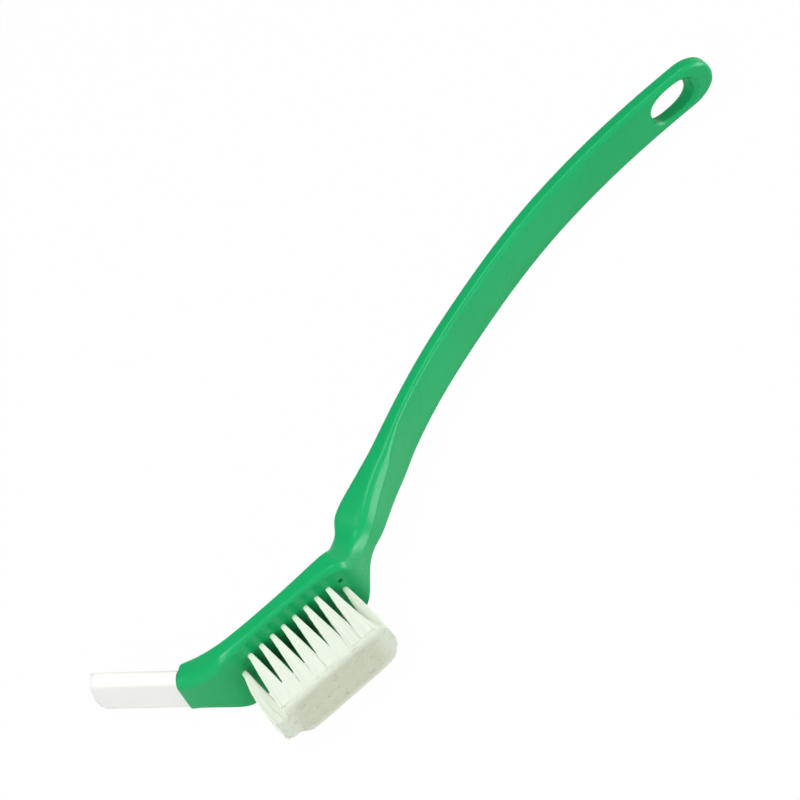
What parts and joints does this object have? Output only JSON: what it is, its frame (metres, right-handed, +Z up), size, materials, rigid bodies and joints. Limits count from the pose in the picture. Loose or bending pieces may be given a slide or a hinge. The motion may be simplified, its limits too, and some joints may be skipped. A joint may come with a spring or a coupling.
{
  "type": "food processor brush",
  "caption": "Long curved-handle cleaning brush with a rectangular tufted head, a flat scraper tip and a hanging hole.",
  "frame": {"origin": "middle of the underside of the bounding box, with the brush lying on its side", "axes": "+X from the scraper to the hanging hole, bristles point along -Y, +Z up through the width of the head"},
  "size_m": [0.2952, 0.1016, 0.0291],
  "materials": {
    "green_moulding": "satin gloss",
    "white_moulding": "satin",
    "bristle": "translucent nylon",
    "anchor_wire": "drawn"
  },
  "bodies": {
    "root": {"handle_and_head": "green_moulding", "scraper_tip": "white_moulding", "tuft_row1_01": "bristle", "tuft_row1_02": "bristle", "tuft_row1_03": "bristle", "tuft_row1_04": "bristle", "tuft_row1_05": "bristle", "tuft_row1_06": "bristle", "tuft_row1_07": "bristle", "tuft_row1_08": "bristle", "tuft_row2_01": "bristle", "tuft_row2_02": "bristle", "tuft_row2_03": "bristle", "tuft_row2_04": "bristle", "tuft_row2_05": "bristle", "tuft_row2_06": "bristle", "tuft_row2_07": "bristle", "tuft_row2_08": "bristle", "tuft_row2_09": "bristle", "tuft_row2_10": "bristle", "tuft_row3_01": "bristle", "tuft_row3_02": "bristle", "tuft_row3_03": "bristle", "tuft_row3_04": "bristle", "tuft_row3_05": "bristle", "tuft_row3_06": "bristle", "tuft_row3_07": "bristle", "tuft_row3_08": "bristle", "tuft_row3_09": "bristle", "tuft_row3_10": "bristle", "tuft_row4_01": "bristle", "tuft_row4_02": "bristle", "tuft_row4_03": "bristle", "tuft_row4_04": "bristle", "tuft_row4_05": "bristle", "tuft_row4_06": "bristle", "tuft_row4_07": "bristle", "tuft_row4_08": "bristle"}
  },
  "joints": []
}
